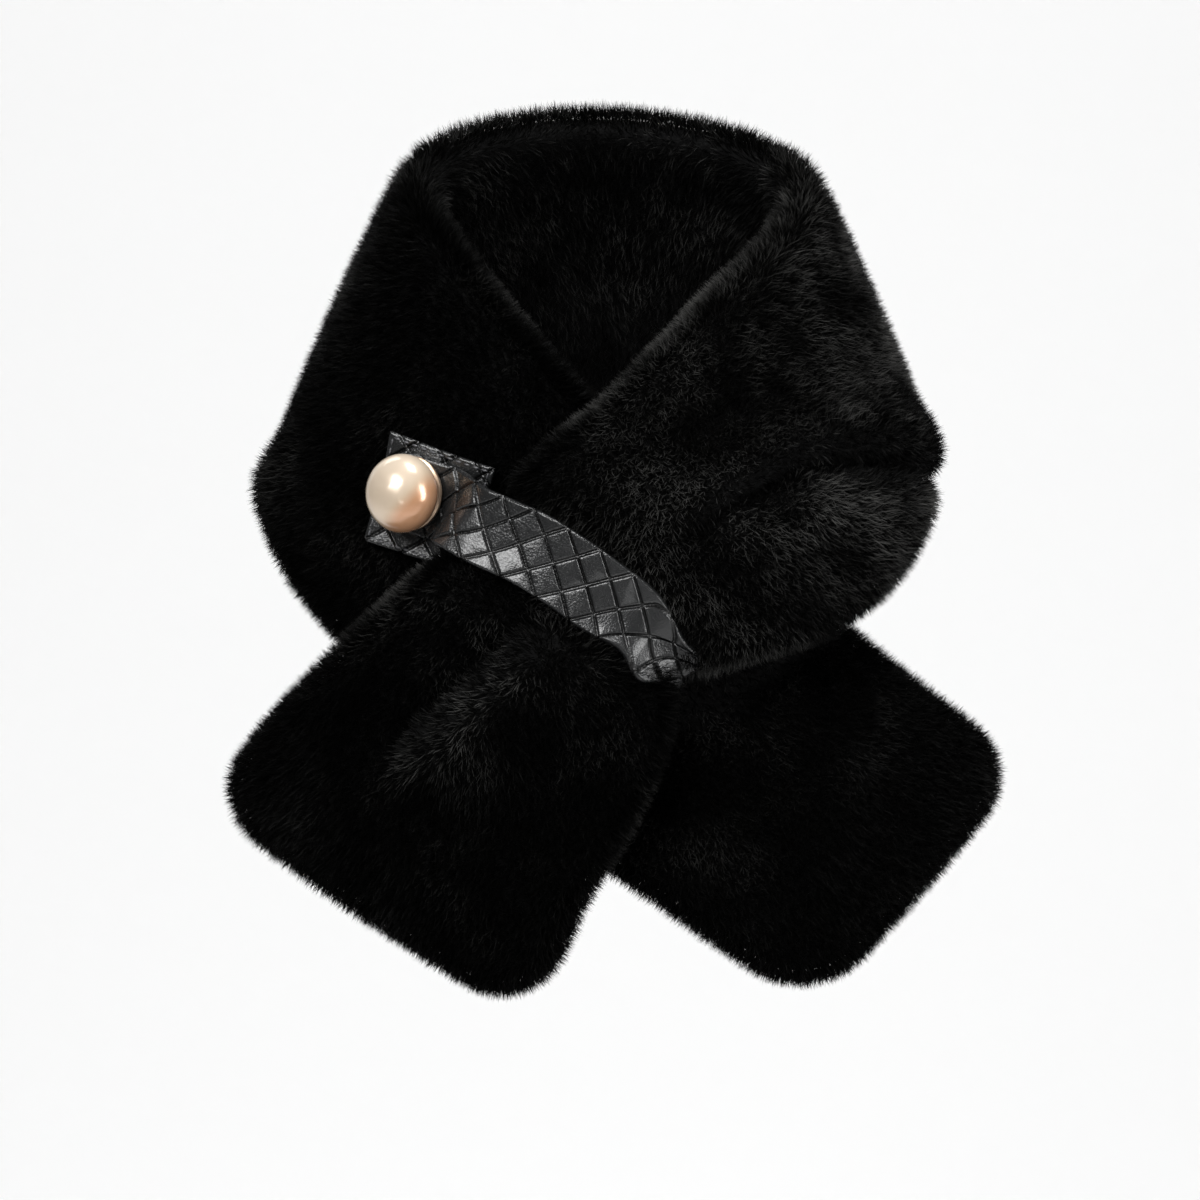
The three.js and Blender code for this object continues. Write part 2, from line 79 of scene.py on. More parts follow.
# To the left of a fold's path the cloth stands up by rise and flattens out over spread. To its right it
# falls away within drop and sinks by dip. It grows over its first fade_in and dies over its last fade_out.
# shine is how much brighter the pile's colour is painted on its crest: a painted highlight.
Fold = namedtuple("Fold", "name path rise spread drop dip fade_in fade_out shine", defaults=[0])
FOLDS = [
    Fold("crease across the left side",
         [(612, 127), (630, 102), (650, 85), (669, 71), (690, 58), (713, 51), (736, 47), (750, 52)],
         rise=6, spread=17, drop=7, dip=12, fade_in=4, fade_out=45, shine=0.6),
    Fold("swelling under the crease",
         [(748, 61), (730, 61), (713, 64), (691, 73), (671, 88), (652, 104), (632, 127)],
         rise=9, spread=18, drop=6, dip=0, fade_in=35, fade_out=2, shine=0.6),
    Fold("hollow above the crease",
         [(586, 129), (603, 114), (616, 94)],
         rise=-9, spread=15, drop=15, dip=0, fade_in=1, fade_out=22),
    Fold("pleat down the over tail",
         [(868, 52), (845, 51), (818, 54), (805, 51), (794, 48)],
         rise=9, spread=26, drop=5, dip=9, fade_in=22, fade_out=9, shine=1.7),
    Fold("hollow beside the pleat",
         [(875, 20), (850, 24), (825, 20), (800, 12)],
         rise=-2, spread=12, drop=10, dip=0, fade_in=25, fade_out=15),
    Fold("shoulder fold",
         [(298, 146), (292, 112), (285, 84)],
         rise=3, spread=30, drop=8, dip=2, fade_in=2, fade_out=30),
    Fold("trough right of the nape",
         [(392, 10), (400, 60), (396, 110)],
         rise=-3, spread=14, drop=10, dip=0, fade_in=20, fade_out=40),
    Fold("trough left of the nape",
         [(548, 5), (538, 50), (545, 100)],
         rise=-4, spread=12, drop=14, dip=0, fade_in=10, fade_out=40),
    Fold("swelling of the under tail",
         [(20, 70), (60, 84), (105, 96)],
         rise=3, spread=22, drop=20, dip=0, fade_in=30, fade_out=30),
]


def smooth(x):
    """A soft step, which rises from 0 to 1 as x does."""
    t = np.clip(x, 0, 1)
    return t * t * (3 - 2 * t)


def bell(x):
    """A soft bump, 1 where x is 0."""
    return np.exp(-np.square(x))


def unit(vectors):
    return vectors / np.maximum(np.linalg.norm(vectors, axis=-1, keepdims=True), 1e-12)


def rail(points, share):
    """A centripetal spline through the points, at shares of its table from 0 to 1."""
    points = np.asarray(points, float)
    first = 2 * points[0] - points[1]
    last = 2 * points[-1] - points[-2]
    padded = np.vstack([first, points, last])
    place = np.clip(share, 0, 1) * (len(points) - 1)
    i = np.minimum(place.astype(int), len(points) - 2)
    t = (place - i)[..., None]
    p0, p1, p2, p3 = (padded[i + k] for k in range(4))
    d0, d1, d2 = (
        np.sqrt(np.linalg.norm(b - a, axis=-1, keepdims=True)) for a, b in ((p0, p1), (p1, p2), (p2, p3))
    )
    t1 = ((p1 - p0) / d0 - (p2 - p0) / (d0 + d1) + (p2 - p1) / d1) * d1
    t2 = ((p2 - p1) / d1 - (p3 - p1) / (d1 + d2) + (p3 - p2) / d2) * d1
    return p1 + t * t1 + t**2 * (3 * (p2 - p1) - 2 * t1 - t2) + t**3 * (2 * (p1 - p2) + t1 + t2)


NECK = [section.neck for section in SECTIONS]
HEM = [section.hem for section in SECTIONS]
BELLY = [(i, section.belly, 0) for i, section in enumerate(SECTIONS)]


def plain_point(share, across):
    """The band's middle surface without folds."""
    step = 1e-3
    neck = rail(NECK, share)
    hem = rail(HEM, share)
    before = np.maximum(share - step, 0)
    after = np.minimum(share + step, 1)
    along = rail(NECK, after) + rail(HEM, after) - rail(NECK, before) - rail(HEM, before)
    outward = unit(np.cross(along, hem - neck))
    stand = (4 * across * (1 - across) * rail(BELLY, share)[..., 1])[..., None]
    across = across[..., None]
    return neck * (1 - across) + hem * across + outward * stand


LENGTH_STEPS = 1000
table_shares = np.linspace(0, 1, LENGTH_STEPS + 1)
middle_line = plain_point(table_shares, np.full(LENGTH_STEPS + 1, 0.5))
middle_lengths = np.concatenate([[0], np.cumsum(np.linalg.norm(np.diff(middle_line, axis=0), axis=1))])
BAND_LENGTH = middle_lengths[-1]


def share_at(length):
    return np.interp(length, middle_lengths, table_shares)


def width_at(length):
    share = share_at(length)
    return np.linalg.norm(rail(NECK, share) - rail(HEM, share), axis=-1)


def from_fold(fold, length, distance):
    """How far a place is to the left of a fold's path, and how much of the fold there is there."""
    nearest = np.full(length.shape, np.inf)
    signed = np.zeros(length.shape)
    run_there = np.zeros(length.shape)
    run = 0
    for a, b in zip(fold.path, fold.path[1:]):
        ux, uy = b[0] - a[0], b[1] - a[1]
        size = math.hypot(ux, uy)
        held = np.clip(((length - a[0]) * ux + (distance - a[1]) * uy) / size**2, 0, 1)
        dx = length - a[0] - held * ux
        dy = distance - a[1] - held * uy
        gap = np.hypot(dx, dy)
        closer = gap < nearest
        nearest = np.where(closer, gap, nearest)
        signed = np.where(closer, np.sign(uy * dx - ux * dy) * gap, signed)
        run_there = np.where(closer, run + held * size, run_there)
        run += size
    return signed, smooth(run_there / fold.fade_in) * smooth((run - run_there) / fold.fade_out)


def fold_height(fold, length, distance):
    """How far a fold lifts the cloth there. It is below 0 where the fold sinks."""
    signed, fade = from_fold(fold, length, distance)
    standing = signed > 0
    shape = np.where(standing, bell(signed / fold.spread), bell(signed / fold.drop))
    sink = fold.dip * (1 - bell(signed / fold.drop)) * bell(signed / (3 * fold.drop))
    return fade * (fold.rise * shape - np.where(standing, 0, sink))


def middle_point(length, distance):
    """A point of the band's middle surface, folds and all."""
    share = share_at(length)
    across = distance / width_at(length)
    step = 1.5
    side_step = 0.02
    before = plain_point(share_at(length - step), across)
    after = plain_point(share_at(length + step), across)
    lower = plain_point(share, across - side_step)
    higher = plain_point(share, across + side_step)
    outward = unit(np.cross(after - before, higher - lower))
    height = sum(fold_height(fold, length, distance) for fold in FOLDS)
    return plain_point(share, across) + outward * height[..., None]


def band_axes(length, distance):
    """Directions along the band, across it, and out of its outer face."""
    step = 2
    start = np.maximum(length - step, 0)
    end = np.minimum(length + step, BAND_LENGTH)
    along = unit(middle_point(end, distance) - middle_point(start, distance))
    across = unit(middle_point(length, distance + step) - middle_point(length, distance - step))
    return along, across, unit(np.cross(along, across))


# The strap and the patch press the pile flat under them, the strap most of all at the neck edge.
PATCH_ALONG, PATCH_ACROSS, PATCH_TURN = 223, 66, 209
PATCH_PRESS, PATCH_PRESS_REACH = 0.25, 25
STRAP_LINE_NECK, STRAP_LINE_HEM = 773, 779
STRAP_PRESS, STRAP_PRESS_REACH = 0.34, 22
NECK_PRESS, NECK_PRESS_REACH = 0.18, 42


def strap_line(length, distance):
    """Where on the band's length the strap crosses it."""
    part = (distance / width_at(length)) ** 2
    return STRAP_LINE_NECK + (STRAP_LINE_HEM - STRAP_LINE_NECK) * part


def pressed(length, distance):
    """The part of the band's thickness that is left there."""
    harder = NECK_PRESS * smooth((NECK_PRESS_REACH - distance) / NECK_PRESS_REACH)
    from_line = length - strap_line(length, distance)
    strap = (STRAP_PRESS + harder) * np.exp(-((from_line / STRAP_PRESS_REACH) ** 4))
    from_patch = np.hypot(length - PATCH_ALONG, distance - PATCH_ACROSS)
    return 1 - strap - PATCH_PRESS * np.exp(-((from_patch / PATCH_PRESS_REACH) ** 4))


CORNER_RADIUS = 28
EDGE_ROUNDING = 12
BAND_THICKNESS = 22


def from_outline(length, distance):
    """How far a place is inside the band's outline, with its round corners."""
    from_edge = np.minimum(distance, width_at(length) - distance)
    from_end = np.minimum(length, BAND_LENGTH - length)
    corner = CORNER_RADIUS - np.hypot(CORNER_RADIUS - from_end, CORNER_RADIUS - from_edge)
    in_corner = (from_end < CORNER_RADIUS) & (from_edge < CORNER_RADIUS)
    return np.where(in_corner, corner, np.minimum(from_edge, from_end))


def face_point(length, distance, face, lift):
    """A point on the tips of the pile of the outer (1) or inner (-1) face, or of the middle (0)."""
    length, distance = np.broadcast_arrays(np.asarray(length, float), np.asarray(distance, float))
    inward = np.clip(from_outline(length, distance) / EDGE_ROUNDING, 0, 1)
    rounded = np.sqrt(1 - (1 - inward) ** 2)
    reach = BAND_THICKNESS / 2 * rounded * pressed(length, distance) + lift
    outward = band_axes(length, distance)[2]
    return middle_point(length, distance) + outward * (face * reach)[..., None]


# The backings of the two panels, back to back. The pile stands on them, and at the edges beyond them.
PILE_REACH = 5.7
BACKING_HALF = 5.3
BACKING_ROUNDING = 4
ROW_STEP = 3
FLAT_COLUMNS = 36
RIM_ROWS = 5
rim_steps = BACKING_ROUNDING * (1 - np.cos(np.linspace(0, math.pi / 2, RIM_ROWS)))
inner_rows = np.linspace(
    PILE_REACH + BACKING_ROUNDING,
    BAND_LENGTH - PILE_REACH - BACKING_ROUNDING,
    round(BAND_LENGTH / ROW_STEP),
)
rows = np.concatenate(
    [PILE_REACH + rim_steps[:-1], inner_rows, (BAND_LENGTH - PILE_REACH - rim_steps[:-1])[::-1]]
)
backing_corner = CORNER_RADIUS - PILE_REACH
from_end = np.minimum(np.minimum(rows, BAND_LENGTH - rows) - PILE_REACH, backing_corner)
corner_cut = backing_corner - np.sqrt(np.maximum(backing_corner**2 - (backing_corner - from_end) ** 2, 0))
edge = PILE_REACH + corner_cut
flat = width_at(rows) - 2 * (edge + BACKING_ROUNDING)
columns = np.concatenate(
    [
        edge[:, None] + rim_steps[None, :-1],
        (edge + BACKING_ROUNDING)[:, None] + flat[:, None] * np.linspace(0, 1, FLAT_COLUMNS + 1)[None, :],
        (width_at(rows) - edge)[:, None] - rim_steps[None, :-1][:, ::-1],
    ],
    axis=1,
)
length_grid = np.broadcast_to(rows[:, None], columns.shape)
inward = np.clip((from_outline(length_grid, columns) - PILE_REACH) / BACKING_ROUNDING, 0, 1)
on_rim = np.zeros(columns.shape, bool)
on_rim[[0, -1], :] = True
on_rim[:, [0, -1]] = True
half = BACKING_HALF * np.sqrt(1 - (1 - inward) ** 2) * pressed(length_grid, columns)
half[on_rim] = 0
along, across, outward = band_axes(length_grid, columns)
middle = middle_point(length_grid, columns)

# Both backings are one list of points, the outer one's first. They meet at the rim and share its points.
outer_index = np.arange(columns.size).reshape(columns.shape)
inner_index = outer_index.copy()
inner_index[~on_rim] = columns.size + np.arange((~on_rim).sum())
backing_points = np.vstack(
    [
        (middle + outward * half[..., None]).reshape(-1, 3),
        (middle - outward * half[..., None])[~on_rim],
    ]
)
face_of_point = np.concatenate([np.where(on_rim.ravel(), 0, 1), np.full((~on_rim).sum(), -1)])
point_length = np.concatenate([length_grid.ravel(), length_grid[~on_rim]])
point_distance = np.concatenate([columns.ravel(), columns[~on_rim]])
point_along = np.vstack([along.reshape(-1, 3), along[~on_rim]])
point_across = np.vstack([across.reshape(-1, 3), across[~on_rim]])


def grid_faces(index, flip):
    quads = np.stack([index[:-1, :-1], index[1:, :-1], index[1:, 1:], index[:-1, 1:]], axis=-1)
    return (quads[..., ::-1] if flip else quads).reshape(-1, 4)


outer_quads = grid_faces(outer_index, False)
inner_quads = grid_faces(inner_index, True)
all_quads = np.vstack([outer_quads, inner_quads])


def scene_object(name, data):
    made = bpy.data.objects.new(name, data)
    bpy.context.scene.collection.objects.link(made)
    return made


def mesh_object(name, points, faces):
    """An object from points in millimetres."""
    mesh = bpy.data.meshes.new(name)
    mesh.from_pydata([tuple(p) for p in np.asarray(points) * MM], [], [tuple(map(int, f)) for f in faces])
    mesh.update()
    return scene_object(name, mesh)


def node(tree, kind, inputs=None, **settings):
    made = tree.nodes.new(kind)
    for key, value in settings.items():
        setattr(made, key, value)
    for key, value in (inputs or {}).items():
        made.inputs[key].default_value = value
    return made


def new_material(name, colour, finish):
    """A material of one colour, with the shader's values that make its finish."""
    material = bpy.data.materials.new(name)
    material.use_nodes = True
    shader = material.node_tree.nodes["Principled BSDF"]
    shader.inputs["Base Color"].default_value = (*colour, 1)
    for key, value in finish.items():
        shader.inputs[key].default_value = value
    return material, material.node_tree, shader


def object_noise(tree, scale, detail=2.0):
    """Noise that stays with the piece, because it reads the piece's own coordinates."""
    place = node(tree, "ShaderNodeTexCoord")
    noise = node(tree, "ShaderNodeTexNoise", {"Scale": scale, "Detail": detail})
    tree.links.new(place.outputs["Object"], noise.inputs["Vector"])
    return noise.outputs["Fac"]


def colour_by(shader, factor, *stops):
    """Colour a material from stop to stop. A stop is its place from 0 to 1 and its colour."""
    tree = shader.id_data
    made = node(tree, "ShaderNodeValToRGB")
    elements = made.color_ramp.elements
    while len(elements) < len(stops):
        elements.new(0.5)
    for element, (position, colour) in zip(elements, stops):
        element.position = position
        element.color = (*colour, 1)
    tree.links.new(factor, made.inputs["Fac"])
    tree.links.new(made.outputs["Color"], shader.inputs["Base Color"])


backing_black, tree, shader = new_material(
    "knitted_backing", (0.003, 0.003, 0.003), {"Roughness": 0.9, "Specular IOR Level": 0.1}
)
knit = object_noise(tree, 900)
colour_by(shader, knit, (0.3, (0.002, 0.002, 0.002)), (0.7, (0.006, 0.006, 0.006)))

band = mesh_object("band", backing_points, all_quads)
band.data.materials.append(backing_black)
band.data.shade_smooth()
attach(band, "root")
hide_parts("under_tail", "right_side", "nape", "left_side", "over_tail")


# The pile. It is dense black plush, about 10 mm long, brushed along the band and ruffled in soft patches.
# It is rooted in the backings on both faces and round every edge, and it is shorter and sparser where the
# band lies on itself or under the strap.
STRAND_WIDTH = 0.34
STRAND_WIDEST = 2.5
STRAND_TIP = (1.2, 0, 6.9)
STRAND_LENGTHS = (0.74, 1.18)
STRAND_TONES = (0.12, 1.0)
strand = mesh_object(
    "strand",
    [
        (0, 0, 0),
        (0, -STRAND_WIDTH / 2, STRAND_WIDEST),
        (0, STRAND_WIDTH / 2, STRAND_WIDEST),
        STRAND_TIP,
    ],
    [(0, 2, 1), (1, 2, 3)],
)


def store(made, name, values, kind="FLOAT"):
    """Keep a value for each point of a mesh, for a material or a tree to read."""
    layer = made.data.attributes.new(name, kind, "POINT")
    layer.data.foreach_set("value" if kind == "FLOAT" else "vector", np.asarray(values, float).ravel())


def math_node(tree, operation, *values):
    """A Math node on numbers and sockets."""
    made = node(tree, "ShaderNodeMath", operation=operation)
    for socket, value in zip(made.inputs, values):
        if isinstance(value, float):
            socket.default_value = value
        else:
            tree.links.new(value, socket)
    return made.outputs["Value"]


def point_value(tree, name):
    return node(tree, "ShaderNodeAttribute", attribute_name=name).outputs["Fac"]


# A strand's colour is painted dark at its root, as painted shade, and pale at its tip, as a painted glint.
# Its corners lie a sliver apart in the UV map, round the place of its root.
SLIVER = 1e-4
corners = np.array([(0, 0, 0), (-2, 4, 0), (2, 4, 0), (0, 8, 0)], float)
store(strand, "sliver", corners * SLIVER, "FLOAT_VECTOR")
store(strand, "height", [0.0, 0.3, 0.3, 1.5])

fur_black, tree, shader = new_material(
    "black_plush", (0.008, 0.008, 0.008), {"Roughness": 0.5, "Specular IOR Level": 0.05}
)
# The fur's colour: each strand's random value and the painted light of its place, times its painted root
# shade and tip glint, in soft random patches.
patches = object_noise(tree, 34, 4)
strand_tone_and_painted_light = math_node(tree, "MULTIPLY", point_value(tree, "tone_and_painted_light"), point_value(tree, "height"))
sharpened = node(
    tree, "ShaderNodeMapRange", {"From Min": 0.36, "From Max": 0.68, "To Min": 0.14, "To Max": 0.56}
)
tree.links.new(patches, sharpened.inputs["Value"])
colour_by(
    shader,
    math_node(tree, "MULTIPLY", sharpened.outputs["Result"], strand_tone_and_painted_light),
    (0.08, (0.0004, 0.0004, 0.0003)),
    (0.22, (0.0025, 0.0025, 0.0023)),
    (0.6, (0.066, 0.0655, 0.0625)),
)
strand.data.materials.append(fur_black)


def new_tree(name, sockets):
    """A modifier's tree, with these inputs between the mesh that comes in and the one that goes out."""
    tree = bpy.data.node_groups.new(name, "GeometryNodeTree")
    tree.is_modifier = True
    tree.interface.new_socket("Geometry", in_out="INPUT", socket_type="NodeSocketGeometry")
    for label, kind in sockets.items():
        tree.interface.new_socket(label, in_out="INPUT", socket_type="NodeSocket" + kind)
    tree.interface.new_socket("Geometry", in_out="OUTPUT", socket_type="NodeSocketGeometry")
    return tree


def named_attribute(tree, name, kind):
    made = node(tree, "GeometryNodeInputNamedAttribute", data_type=kind)
    made.inputs["Name"].default_value = name
    return made.outputs["Attribute"]


def pile_tree():
    """Strands of pile, planted over a surface along its normals, its nap and its ruffles."""
    sockets = {"Strand": "Object", "Density": "Float", "Ruffle": "Float", "Stray": "Float", "Seed": "Int"}
    tree = new_tree("pile", {**sockets, "Material": "Material"})
    link = tree.links.new
    given = node(tree, "NodeGroupInput")

    def attribute(name, kind="FLOAT"):
        return named_attribute(tree, name, kind)

    def vector(operation, a, b):
        made = node(tree, "ShaderNodeVectorMath", operation=operation)
        link(a, made.inputs[0])
        if operation == "SCALE":
            link(b, made.inputs["Scale"])
        else:
            link(b, made.inputs[1])
        return made.outputs["Vector"]

    cover = math_node(tree, "MULTIPLY", given.outputs["Density"], attribute("cover"))
    roots = node(tree, "GeometryNodeDistributePointsOnFaces")
    link(given.outputs["Geometry"], roots.inputs["Mesh"])
    link(cover, roots.inputs["Density"])
    link(given.outputs["Seed"], roots.inputs["Seed"])

    def ruffle(scale, part):
        noise = node(tree, "ShaderNodeTexNoise", {"Scale": scale, "Detail": 1.0})
        centred = node(tree, "ShaderNodeVectorMath", {1: (0.5, 0.5, 0.5)}, operation="SUBTRACT")
        link(noise.outputs["Color"], centred.inputs[0])
        scaled = math_node(tree, "MULTIPLY", given.outputs["Ruffle"], part)
        return vector("SCALE", centred.outputs["Vector"], scaled)

    stray = node(tree, "FunctionNodeRandomValue", data_type="FLOAT_VECTOR")
    stray.inputs["Min"].default_value = (-1, -1, -1)
    stray.inputs["Max"].default_value = (1, 1, 1)
    link(given.outputs["Seed"], stray.inputs["Seed"])
    nap = attribute("nap", "FLOAT_VECTOR")
    broad_ruffles = ruffle(38, 1.0)
    fine_ruffles = ruffle(130, 0.55)
    lean = vector("ADD", nap, vector("ADD", broad_ruffles, fine_ruffles))
    loose = vector("SCALE", stray.outputs["Value"], given.outputs["Stray"])
    direction = vector("ADD", roots.outputs["Normal"], vector("ADD", lean, loose))
    bend = vector("ADD", lean, stray.outputs["Value"])
    turned = node(tree, "FunctionNodeAxesToRotation", primary_axis="Z", secondary_axis="X")
    link(direction, turned.inputs["Primary Axis"])
    link(bend, turned.inputs["Secondary Axis"])

    # Each strand keeps a random value times the painted highlight and painted shade of its place.
    toned = node(tree, "GeometryNodeStoreNamedAttribute", data_type="FLOAT", domain="POINT")
    toned.inputs["Name"].default_value = "tone_and_painted_light"
    tones = node(tree, "FunctionNodeRandomValue", data_type="FLOAT")
    tones.inputs["Min"].default_value, tones.inputs["Max"].default_value = STRAND_TONES
    link(math_node(tree, "MULTIPLY", tones.outputs[1], attribute("painted_sheen_and_shade")), toned.inputs["Value"])
    link(roots.outputs["Points"], toned.inputs["Geometry"])

    size = node(tree, "FunctionNodeRandomValue", data_type="FLOAT")
    size.inputs[2].default_value, size.inputs[3].default_value = STRAND_LENGTHS
    length = math_node(tree, "MULTIPLY", size.outputs[1], attribute("pile"))
    scale = node(tree, "ShaderNodeCombineXYZ", {"Y": 1})
    link(length, scale.inputs["X"])
    link(length, scale.inputs["Z"])

    source = node(tree, "GeometryNodeObjectInfo")
    link(given.outputs["Strand"], source.inputs["Object"])
    planted = node(tree, "GeometryNodeInstanceOnPoints")
    link(toned.outputs["Geometry"], planted.inputs["Points"])
    link(source.outputs["Geometry"], planted.inputs["Instance"])
    link(turned.outputs["Rotation"], planted.inputs["Rotation"])
    link(scale.outputs["Vector"], planted.inputs["Scale"])
    real = node(tree, "GeometryNodeRealizeInstances")
    link(planted.outputs["Instances"], real.inputs["Geometry"])

    unwrapped = node(tree, "GeometryNodeStoreNamedAttribute", data_type="FLOAT2", domain="CORNER")
    unwrapped.inputs["Name"].default_value = "OFBake"
    link(real.outputs["Geometry"], unwrapped.inputs["Geometry"])
    place = vector("ADD", attribute("place", "FLOAT_VECTOR"), attribute("sliver", "FLOAT_VECTOR"))
    link(place, unwrapped.inputs["Value"])
    dressed = node(tree, "GeometryNodeSetMaterial")
    link(unwrapped.outputs["Geometry"], dressed.inputs["Geometry"])
    link(given.outputs["Material"], dressed.inputs["Material"])
    result = node(tree, "NodeGroupOutput")
    link(dressed.outputs["Geometry"], result.inputs["Geometry"])
    return tree


def run_tree(target, tree, **values):
    """The plain mesh that the tree makes of target. The values are the tree's named inputs."""
    modifier = target.modifiers.new(tree.name, "NODES")
    modifier.node_group = tree
    for socket in tree.interface.items_tree:
        if socket.in_out == "INPUT" and socket.name in values:
            modifier[socket.identifier] = values[socket.name]
    target.update_tag()
    evaluated = target.evaluated_get(bpy.context.evaluated_depsgraph_get())
    mesh = bpy.data.meshes.new_from_object(evaluated)
    target.modifiers.remove(modifier)
    return mesh


outer = face_of_point >= 0
inner = face_of_point < 0
from_middle = np.abs(point_length - BAND_LENGTH / 2)
to_line = strap_line(point_length, point_distance) - point_length
from_line = np.abs(to_line)
to_hem = width_at(point_length) - point_distance

# The nap, at each point of the backings. It is brushed to the nearer tail and down to the hem, it closes in
# on the strap's edges, and it parts along the crests of the deep folds.
NAP_TO_TAIL = 0.18
NAP_DOWN = 0.25
NAP_TO_STRAP = 0.5
NAP_PARTING = 0.6
to_tail = np.where(point_length < BAND_LENGTH / 2, -1.0, 1.0) * smooth(from_middle / 120)
to_strap = np.sign(to_line) * bell((from_line - 17) / 5)
down = NAP_DOWN * np.clip((point_distance - 22) / 35, -0.8, 1)
deep_folds = [fold for fold in FOLDS if fold.dip > 2]
for fold in deep_folds:
    beside, part = from_fold(fold, point_length, point_distance)
    down = down - NAP_PARTING * part * bell((beside - 1) / 5)
nap_along = NAP_TO_TAIL * to_tail + NAP_TO_STRAP * to_strap
nap = point_along * nap_along[:, None] + point_across * down[:, None]

# How dense the pile is. It is densest round the rim, where it stands against the light, and sparser on the
# inner face, on the back of the nape and where the over band covers it. There is none under the leather.
RIM_COVER, RIM_WIDTH = 1.9, 5
INNER_COVER = 0.4
NAPE_INSIDE, NAPE_INSIDE_COVER, NAPE_TOP_COVER, NAPE_TOP = (330, 600), 0.4, 0.18, 70
NAPE_OUTSIDE, NAPE_OUTSIDE_COVER = (340, 580), 0.6
UNDER_CROSSING, COVERED_COVER = (78, 205), 0.3
CROSSING_SLANT, CROSSING_MARGIN = 0.2, 12
UNDER_STRAP, UNDER_STRAP_AT_HEM, STRAP_AT_HEM = 9, 5, 11
UNDER_PATCH = 15
rim = 1 - smooth((from_outline(point_length, point_distance) - PILE_REACH) / RIM_WIDTH)
cover = np.where(outer, 1.0, INNER_COVER) * (1 + RIM_COVER * rim)
nape_inside = inner & (point_length > NAPE_INSIDE[0]) & (point_length < NAPE_INSIDE[1])
cover = np.where(nape_inside, NAPE_INSIDE_COVER + NAPE_TOP_COVER * (point_distance < NAPE_TOP), cover)
covered = outer & (point_length > UNDER_CROSSING[0]) & (point_length < UNDER_CROSSING[1])
covered &= (point_length - UNDER_CROSSING[0]) > CROSSING_SLANT * point_distance + CROSSING_MARGIN
cover = np.where(covered, COVERED_COVER * cover, cover)
nape_outside = outer & (point_length > NAPE_OUTSIDE[0]) & (point_length < NAPE_OUTSIDE[1])
cover = np.where(nape_outside, NAPE_OUTSIDE_COVER * cover, cover)
under_strap = outer & (from_line < np.where(to_hem < STRAP_AT_HEM, UNDER_STRAP_AT_HEM, UNDER_STRAP))
turn = math.radians(PATCH_TURN)
patch_x, patch_y = point_length - PATCH_ALONG, point_distance - PATCH_ACROSS
from_patch = np.maximum(
    np.abs(patch_x * math.cos(turn) + patch_y * math.sin(turn)),
    np.abs(patch_y * math.cos(turn) - patch_x * math.sin(turn)),
)
cover = np.where(under_strap | (outer & (from_patch < UNDER_PATCH)), 0.0, cover)

# How long the pile is. It is pressed short under the leather, and stands up past the leather's edges and
# over the strap's end at the hem.
PATCH_HALF = 18.6
PATCH_SURROUND = 40
STRAP_EDGE_PILE, PATCH_EDGE_PILE, STRAP_END_PILE = 0.5, 0.35, 1.35
HEM_TUCK, STRAP_END_REACH = 13, 15
pile = pressed(point_length, point_distance)
beside_strap = smooth((from_line - 11) / 4) * bell(np.maximum(from_line - 16, 0) / 6)
pile = np.where(outer, pile + STRAP_EDGE_PILE * beside_strap, pile)
patch_gap = from_patch - PATCH_HALF
beside_patch = smooth(patch_gap / 3) * bell(np.maximum(patch_gap, 0) / 6)
pile = np.where(outer & (from_patch < PATCH_SURROUND), pile + PATCH_EDGE_PILE * beside_patch, pile)
tucked = outer * smooth((HEM_TUCK - to_hem) / 6)
pile = pile + (STRAP_END_PILE - pile) * tucked * (from_line < STRAP_END_REACH)

# The deep folds close over their own floor: the pile is thin and short in them, and its colour is painted
# dark there as painted shade. It is painted bright on their crests and on the swelling under the crease, as
# a painted highlight. The tails and the right side are painted darker, as painted shade, and the left side,
# which faces the light, is painted brighter, as a painted highlight.
FLOOR_THINNING, FLOOR_SHORTENING = 0.92, 0.5
PAINTED_SHADE_TAILS, PAINTED_SHADE_RIGHT, PAINTED_LIGHT_LEFT = 0.42, 0.36, 0.3
closed = np.zeros(len(point_length))
crest = np.zeros(len(point_length))
for fold in FOLDS:
    if fold in deep_folds:
        beside, part = from_fold(fold, point_length, point_distance)
        gape = 5.5 + 4.5 * smooth((700 - point_length) / 30)
        closed = np.maximum(closed, part * bell((beside + gape) / gape))
        crest = np.maximum(crest, fold.shine * part * bell((beside - 2) / 4))
    elif fold.shine:
        swell = fold_height(fold._replace(rise=1), point_length, point_distance)
        crest = np.maximum(crest, fold.shine * swell)
cover = cover * (1 - FLOOR_THINNING * closed)
pile = pile * (1 - FLOOR_SHORTENING * closed)
on_tails = smooth((from_middle - 335) / 60)
on_right = smooth((point_length - 140) / 40) * smooth((350 - point_length) / 50)
on_left = smooth((point_length - 560) / 40) * smooth((730 - point_length) / 50)
# Painted light in the pile's colour: painted highlight on the crests and the left side, painted shade on
# the fold floors, the tails and the right side.
painted_sheen_and_shade = (1 + crest) * (1 - closed)
painted_sheen_and_shade = painted_sheen_and_shade * (1 - PAINTED_SHADE_TAILS * on_tails - PAINTED_SHADE_RIGHT * on_right + PAINTED_LIGHT_LEFT * on_left)

# Each root's place in the UV map: the outer face in one half of it, the inner face in the other.
place = np.stack(
    [
        0.01 + 0.98 * point_length / BAND_LENGTH,
        np.where(inner, 0.51, 0.01) + 0.47 * point_distance / width_at(point_length),
        np.zeros(len(point_length)),
    ],
    axis=1,
)

